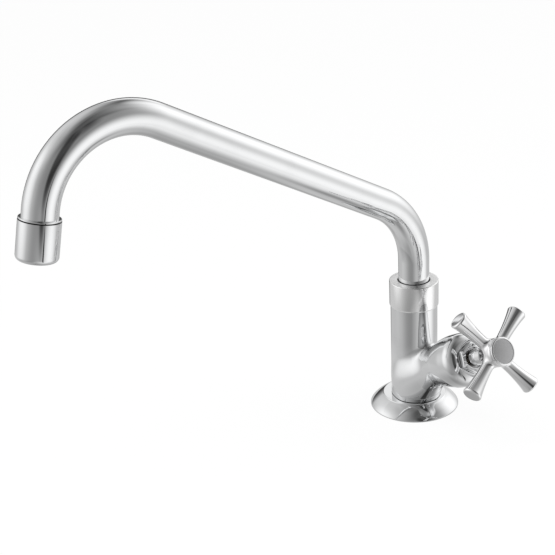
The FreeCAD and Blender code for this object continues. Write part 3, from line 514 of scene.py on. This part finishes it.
# The ridge of a thread: a flat-topped section that climbs turn by turn. Its heights are
# shares of the pitch
def addThread(work, outside, depth, pitch, ends):
    low, high = ends
    foot, crest = outside - depth - 0.1, outside - 0.02
    section = [(foot, 0.0), (crest, 0.38), (crest, 0.52), (foot, 0.9)]
    ridge = drawSection([(radius, low + share * pitch) for radius, share in section], True)
    mesh = bpy.data.meshes.new("ridge")
    ridge.to_mesh(mesh)
    ridge.free()
    holder = bpy.data.objects.new("ridge", mesh)
    scene.collection.objects.link(holder)
    climb = holder.modifiers.new("climb", "SCREW")
    climb.screw_offset = pitch * mm
    climb.iterations = int((high - low) / pitch)
    climb.steps = climb.render_steps = 64
    wound = bpy.data.meshes.new_from_object(holder.evaluated_get(bpy.context.evaluated_depsgraph_get()))
    work.from_mesh(wound)
    bpy.data.objects.remove(holder)
    bpy.data.meshes.remove(mesh)
    bpy.data.meshes.remove(wound)
    openEdges = [edge for edge in work.edges if edge.is_boundary]
    bmesh.ops.holes_fill(work, edges=openEdges, sides=4)


def makeShank(look):
    inside, root, tailRoot = look["bore"], look["shank"] - look["depth"], look["tail"] - look["depth"]
    low, step, high = look["low"], look["step"], look["high"]
    work = lathe([(inside, low, 0.3), (tailRoot, low, 0.6), (tailRoot, step), (root, step, 0.5),
                  (root, high, 0.5), (inside, high)])
    addThread(work, look["tail"], look["depth"], look["tailPitch"], look["tailThread"])
    addThread(work, look["shank"], look["depth"], look["pitch"], look["thread"])
    bmesh.ops.recalc_face_normals(work, faces=work.faces)
    return work


settle(makeShank(fixing), "inletShank", "inlet_shank", brass)
settle(flatRing(fixing["hole"], fixing["gasket"], fixing["washerHigh"], fixing["gasketHigh"], 0.4, 0.5),
       "clampingGasket", "clamping_gasket", rubber)
settle(flatRing(fixing["hole"], fixing["washer"], fixing["washerLow"], fixing["washerHigh"], 0.2, 0.3),
       "clampingWasher", "clamping_washer", steel)
print("fixing made")

# The spout's tube: straight foot, near bend, long run, far bend and drop, with a real wall
spout = {"radius": 9.525, "wall": 1.0, "foot": 73.6, "upright": 25.24, "bend": 47.6, "rise": 28.75,
         "run": 165.3, "lean": stands["outletLean"], "drop": 10.55, "around": 96, "nearSteps": 48,
         "farSteps": 72}


def makeSpout(look):
    work = bmesh.new()
    bmesh.ops.create_circle(work, cap_ends=False, radius=look["radius"] * mm, segments=look["around"],
                            matrix=Matrix.Translation((0, 0, look["foot"] * mm)))
    rim = work.edges[:]

    def push(rim, direction, length):
        made = bmesh.ops.extrude_edge_only(work, edges=rim)["geom"]
        points = [item for item in made if isinstance(item, bmesh.types.BMVert)]
        bmesh.ops.translate(work, verts=points, vec=Vector(direction) * length * mm)
        return [item for item in made if isinstance(item, bmesh.types.BMEdge)]

    def bend(rim, centre, angle, steps):
        points = list({point for edge in rim for point in edge.verts})
        made = bmesh.ops.spin(work, geom=points + rim, cent=centre, axis=(0, -1, 0),
                              angle=math.radians(angle), steps=steps, use_merge=False)["geom_last"]
        return [item for item in made if isinstance(item, bmesh.types.BMEdge)]

    rise, lean = math.radians(look["rise"]), math.radians(look["lean"])
    uphill = Vector((-math.cos(rise), 0, math.sin(rise)))
    rim = push(rim, (0, 0, 1), look["upright"])
    centre = Vector((-look["bend"], 0, look["foot"] + look["upright"])) * mm
    rim = bend(rim, centre, 90 - look["rise"], look["nearSteps"])
    rim = push(rim, uphill, look["run"])
    centre = centre + uphill * look["run"] * mm  # both bends turn the same way, so the run carries it along
    rim = bend(rim, centre, 90 + look["rise"] - look["lean"], look["farSteps"])
    push(rim, (-math.sin(lean), 0, -math.cos(lean)), look["drop"])
    bmesh.ops.recalc_face_normals(work, faces=work.faces)
    bmesh.ops.solidify(work, geom=work.faces[:], thickness=look["wall"] * mm)
    return work


settle(makeSpout(spout), "spoutTube", "spout_tube", tubeChrome)
print("spout made")

# Spout's foot: the nut, smooth and satin-turned, and the black ring in its lip
nut = {"radius": 15.24, "bore": 12.55, "low": 69.0, "edge": 69.6, "high": 85.4, "lip": 83.8, "hole": 10.125,
       "ring": 9.575, "ringLow": 84.3, "ringHigh": 85.5}
settle(lathe([
    (nut["bore"], nut["low"], 0.1), (nut["radius"] - 0.35, nut["low"], 0.12),
    (nut["radius"], nut["edge"], 0.4), (nut["radius"], nut["high"], 0.55), (nut["hole"], nut["high"], 0.2),
    (nut["hole"], nut["lip"]), (nut["bore"], nut["lip"])], 192),
    "spoutNut", "spout_nut", satinChrome)
settle(lathe([(nut["ring"], nut["ringLow"]), (nut["hole"], nut["ringLow"]),
              (nut["hole"], nut["ringHigh"], 0.12), (nut["ring"], nut["ringHigh"], 0.12)]),
       "sealRing", "seal_ring", rubber)

# Outlet: the ring on the tube's end and the aerator's sleeve under it
ferrule = {"tube": 9.555, "radius": 10.95, "thread": 10.32, "bore": 8.525, "top": -1.1, "foot": -0.1,
           "end": 7.9, "stop": 4.93}
settle(lathe([
    (ferrule["tube"], ferrule["top"]), (ferrule["radius"], ferrule["top"], 0.35),
    (ferrule["radius"], ferrule["foot"], 0.2), (ferrule["thread"], ferrule["foot"]),
    (ferrule["thread"], ferrule["end"], 0.3), (ferrule["bore"], ferrule["end"]),
    (ferrule["bore"], ferrule["stop"]), (ferrule["tube"], ferrule["stop"])], 192),
    "outletFerrule", "outlet_ferrule", outletChrome, outlet)
sleeve = {"radius": 11.1, "bore": 10.35, "length": 21.4, "footRound": 2.9, "mouth": 7.8, "ledge": 19.9}
settle(lathe([
    (sleeve["bore"], 0), (sleeve["radius"], 0, 0.3),
    (sleeve["radius"], sleeve["length"], sleeve["footRound"]), (sleeve["mouth"], sleeve["length"], 0.4),
    (sleeve["mouth"], sleeve["ledge"]), (sleeve["bore"], sleeve["ledge"])], 192),
    "aeratorSleeve", "aerator_housing", outletChrome, outlet)
print("nut and outlet made")

# Cross handle: a hub that opens from its neck like a trumpet, and four arms that widen outwards.
# The hub's bore is drawn from its foot inwards and up to its top
cross = {
    "neck": 5.2, "neckEnd": 76.6, "hub": 8.6, "hubFrom": 83.2, "hubEnd": 88.2, "foot": 63.55, "top": 89.3,
    "plane": 82.7, "arm": 3.55, "tip": 5.6, "reach": 31.4, "round": 1.1, "turn": 35.3, "blend": 2.6,
    "grain": 0.42,
    "bore": [(4.95, 63.55), (4.03, 63.55), (4.03, 76.95), (2.2, 76.95), (2.2, 78.95), (5.03, 78.95),
             (5.03, 89.3), (7.0, 89.3)],
}


def makeCross(look):
    forms = [{"place": branch, "section": [
        (0, 60), (look["neck"], 60), (look["neck"], look["neckEnd"], 4.0),
        (look["hub"], look["hubFrom"], 2.2), (look["hub"], look["hubEnd"], 0.8), (6.0, 91.5), (0, 91.5)]}]
    arms = []
    for quarter in range(4):
        arm = branch @ Matrix.Translation((0, 0, look["plane"] * mm))
        arm = arm @ Matrix.Rotation(math.radians(look["turn"] + 90 * quarter), 4, "Z") @ Matrix.Rotation(
            math.pi / 2, 4, "Y")
        arms.append(arm)
        forms.append({"place": arm, "start": 0.0, "section": [
            (0, 0), (look["arm"], 0), (look["arm"], 20.9, 9.5), (look["tip"], 30.6),
            (look["tip"] + 0.2, 31.6), (0, 31.6)]})
    work = castForms(forms, look["blend"], look["grain"])
    end = look["reach"] - look["round"]
    for arm in arms:
        rim = cutOff(work, arm, end)
        radius = sum((arm.inverted() @ point.co).xy.length for edge in rim for point in edge.verts)
        radius = radius / len(rim) / 2 / mm
        carryOn(work, rim, arm, quarterRound(radius, end, look["round"], 10) + [
            (3.0, look["reach"]), (1.5, look["reach"]), (0.001, look["reach"])])
    top = cutOff(work, branch, look["top"])
    rim = cutOff(work, branch, look["foot"], above=False)
    rim = carryOn(work, rim, branch, look["bore"])
    bmesh.ops.bridge_loops(work, edges=top + rim)
    bmesh.ops.remove_doubles(work, verts=work.verts, dist=0.003 * mm)
    bmesh.ops.recalc_face_normals(work, faces=work.faces)
    return work


settle(makeCross(cross), "crossHandle", "cross_handle", handleChrome)

# Cap of the hub with its bare round plate
cap = {"radius": 8.5, "edge": 89.9, "low": 89.4, "high": 91.0, "stem": 5.0, "stemEnd": 84.9, "ledge": 7.6,
       "floor": 90.5, "plate": 7.35, "plateTop": 90.8, "play": 0.03}
settle(lathe([
    (0, cap["stemEnd"]), (cap["stem"], cap["stemEnd"], 0.3), (cap["stem"], cap["low"]),
    (cap["ledge"], cap["low"], 0.2), (cap["radius"], cap["edge"], 0.15), (cap["radius"], cap["high"], 0.9),
    (cap["plate"] + cap["play"], cap["high"], 0.12), (cap["plate"] + cap["play"], cap["floor"]),
    (0, cap["floor"])], 160, False),
    "handleCap", "handle_cap", handleChrome, branch)
settle(lathe([
    (0, cap["floor"]), (cap["plate"], cap["floor"]), (cap["plate"], cap["plateTop"], 0.12),
    (0, cap["plateTop"])], 160, False),
    "indexPlate", "index_plate", satinPlate, branch)
print("handle made")


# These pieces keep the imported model's shape: a copy is merged, its flat parts are joined, and
# its edges are broken
def refine(name, node, material, edge):
    work = bmesh.new()
    work.from_mesh(frame["nodes"][node].data)
    work.transform(frame["nodes"][node].matrix_world)
    bmesh.ops.remove_doubles(work, verts=work.verts, dist=0.002 * mm)
    bmesh.ops.dissolve_limit(work, angle_limit=0.002, verts=work.verts, edges=work.edges)
    piece = settle(work, name, node, material)
    if edge:
        broken = piece.modifiers.new("brokenEdges", "BEVEL")
        broken.width = edge * mm
        broken.segments = 2
        broken.limit_method = "ANGLE"
        broken.angle_limit = math.radians(35)


refine("bonnet", "bonnet", bonnetChrome, 0.18)
refine("backNut", "back_nut", brass, 0.25)
refine("spoutFerrule", "spout_ferrule", brass, 0.1)
refine("valveSeat", "valve_seat", brass, 0.08)
refine("valvePiston", "valve_piston", brass, 0.08)
refine("spindle", "spindle", greasedBrass, 0.08)
refine("aeratorScreen", "aerator_screen", steel, 0)
refine("aeratorInsert", "aerator_insert", greyPlastic, 0)
print("small pieces refined")

# The photograph's camera; its place is in metres
view = {"lens": 84.65, "sensor": 36, "place": (-0.47916, -0.57368, 0.39997),
        "angles": (67.386, 2.5666, -34.4786)}
camera = bpy.data.objects.new("camera", bpy.data.cameras.new("camera"))
camera.data.lens = view["lens"]
camera.data.sensor_width = view["sensor"]
camera.data.clip_start = 0.01
camera.location = view["place"]
camera.rotation_euler = [math.radians(angle) for angle in view["angles"]]
scene.collection.objects.link(camera)
scene.camera = camera

# What the metal sees round it: soft panels of light and shade in a plain studio. Each is
# (compass, height, roll, half width, half height, core, level), compass from +Y towards +X.
# What isn't metal is lit by the air's level instead
room = {
    "level": 0.604, "ceiling": 0.06, "ceilingEdge": (-0.14, 0.56), "air": 0.85,
    "panels": [
        (-162.9, 39.8, 60.7, 1.125, 1.015, 0.17, -0.384), (12.7, 65.3, 13.2, 0.895, 1.022, 0.15, -0.776),
        (146.1, -20.9, -97.4, 0.724, 0.652, -0.60, 0.909), (-17.4, 51.1, 56.9, 0.685, 1.034, -0.17, 0.918),
        (-163.5, 18.9, 80.5, 0.683, 0.292, 0.18, -0.208), (88.4, 23.0, 79.9, 0.648, 0.834, -0.60, 0.985),
        (-12.4, -60.5, -97.4, 0.515, 1.047, -0.60, -0.329),
        (-118.8, -47.9, -4.7, 0.666, 0.995, -0.16, -0.337),
        (-55.6, 9.7, -84.7, 0.635, 0.697, -0.22, 0.546), (-166.7, -48.4, 59.7, 0.633, 0.544, 0.01, 0.215),
        (-79.7, -57.9, -11.8, 0.859, 0.294, 0.59, 0.107), (100.8, 78.5, 65.7, 0.907, 0.557, -0.38, 0.651),
        (66.5, 43.8, -36.0, 0.295, 0.430, -0.60, 0.552), (4.1, 77.7, -43.0, 0.500, 0.254, -0.09, -0.178),
        (178.0, -26.0, 0.0, 0.085, 0.480, -0.30, -0.80), (178.3, 39.8, -8.4, 0.232, 0.383, -0.58, -0.225),
        (21.4, -3.0, -96.4, 0.50, 0.52, 0.0, -0.56), (40.0, 25.0, 0.0, 0.36, 0.20, 0.10, 0.62)],
}


def makeRoom(look):
    world = bpy.data.worlds.new("studioAir")
    scene.world = world
    nodes = Nodes(world)
    aim = nodes.put("ShaderNodeTexCoord")
    light = look["level"] + look["ceiling"] * nodes.along(aim, (0, 0, 1)).above(*look["ceilingEdge"])
    for compass, height, roll, width, tall, core, level in look["panels"]:
        turn = Matrix.Rotation(math.radians(-compass), 3, "Z") @ Matrix.Rotation(math.radians(height), 3, "X")
        turn = turn @ Matrix.Rotation(math.radians(-roll), 3, "Y")
        side, ahead, up = turn.col
        across, over = nodes.along(aim, side / width), nodes.along(aim, up / tall)
        spread = across * across + over * over
        light = light + level * (1 - spread.above(core, 1.0)) * nodes.along(aim, ahead).above(0.0, 0.02)
    light = light.math("MAXIMUM", light, 0.0)
    eye = nodes.put("ShaderNodeLightPath", output=0)
    glossy = nodes.put("ShaderNodeLightPath", output=3)
    through = nodes.put("ShaderNodeLightPath", output=6)
    soft = look["air"] * (1 - glossy) + light * glossy
    level = soft * (1 - eye) * (1 - through) + eye + through * (1 - eye)
    shine = nodes.put("ShaderNodeBackground", None, {"Color": grey(1.0), "Strength": level})
    nodes.put("ShaderNodeOutputWorld", None, {"Surface": shine})


makeRoom(room)

# The floor is white paper to the eye and keeps the tap's shadow. The metal sees it out to
# near, and no more beyond far, as a glowing sheet with painted light and painted shade in patches,
# each (x, y, reach, level); the last is a painted shadow round the tap's foot. All its lengths are in metres
paper = {
    "colour": 0.82, "roughness": 0.9, "level": 0.62, "eyeShare": 0.93, "near": 0.05, "far": 0.12, "size": 4.0,
    "parts": [(0.11, 0.02, 0.12, 0.35), (-0.10, -0.19, 0.15, -0.42), (-0.05, 0.11, 0.10, 0.12),
              (-0.03, -0.05, 0.06, -0.30)],
}


def makeFloor(look):
    work = bmesh.new()
    bmesh.ops.create_grid(work, x_segments=1, y_segments=1, size=look["size"])
    mesh = bpy.data.meshes.new("floor")
    work.to_mesh(mesh)
    work.free()
    floor = bpy.data.objects.new("floor", mesh)
    scene.collection.objects.link(floor)
    material = bpy.data.materials.new("floorPaper")
    nodes = Nodes(material)
    where = nodes.put("ShaderNodeTexCoord", output=3)

    def away(x, y):
        return nodes.put("ShaderNodeVectorMath", {"operation": "DISTANCE"}, {
            0: where, 1: (x, y, 0)}, output=1)

    level = look["level"]
    # Painted light and painted shade on the glow, patch by patch
    for x, y, reach, part in look["parts"]:
        level = level + part * (1 - away(x, y).above(0.0, reach))
    eye = nodes.put("ShaderNodeLightPath", output=0)
    glossy = nodes.put("ShaderNodeLightPath", output=3)
    near = 1 - away(0, 0).above(look["near"], look["far"])
    matt = nodes.put("ShaderNodeBsdfPrincipled", None, {
        "Base Color": grey(look["colour"]), "Roughness": look["roughness"]})
    # What the metal sees of the floor: a glow, not a lamp, that carries the painted light and shade
    paintedFloorGlow = nodes.put("ShaderNodeEmission", None, {
        "Color": grey(1.0), "Strength": level * glossy + (1 - glossy)})
    seen = nodes.put("ShaderNodeMixShader", None, {0: eye * look["eyeShare"] + glossy, 1: matt, 2: paintedFloorGlow})
    clear = nodes.put("ShaderNodeBsdfTransparent")
    nodes.finish(nodes.put("ShaderNodeMixShader", None, {0: glossy * (1 - near), 1: seen, 2: clear}))
    mesh.materials.append(material)


makeFloor(paper)

# Two softboxes, in metres and watts
softboxes = {
    "keyLight": {"place": (-0.5, -0.2, 1.2), "target": (-0.1, 0, 0.1), "size": 0.9, "power": 9.0},
    "fillLight": {"place": (0.9, -0.7, 0.7), "target": (-0.05, 0, 0.1), "size": 0.7, "power": 4.0},
}


def addSoftbox(name, look):
    lamp = bpy.data.lights.new(name, "AREA")
    lamp.shape = "RECTANGLE"
    lamp.size = lamp.size_y = look["size"]
    lamp.energy = look["power"]
    holder = bpy.data.objects.new(name, lamp)
    holder.location = look["place"]
    sight = Vector(look["target"]) - Vector(look["place"])
    holder.rotation_euler = sight.to_track_quat("-Z", "Y").to_euler()
    holder.visible_glossy = False
    scene.collection.objects.link(holder)


for name, look in softboxes.items():
    addSoftbox(name, look)

scene.view_settings.view_transform = "Standard"
print("scene made")
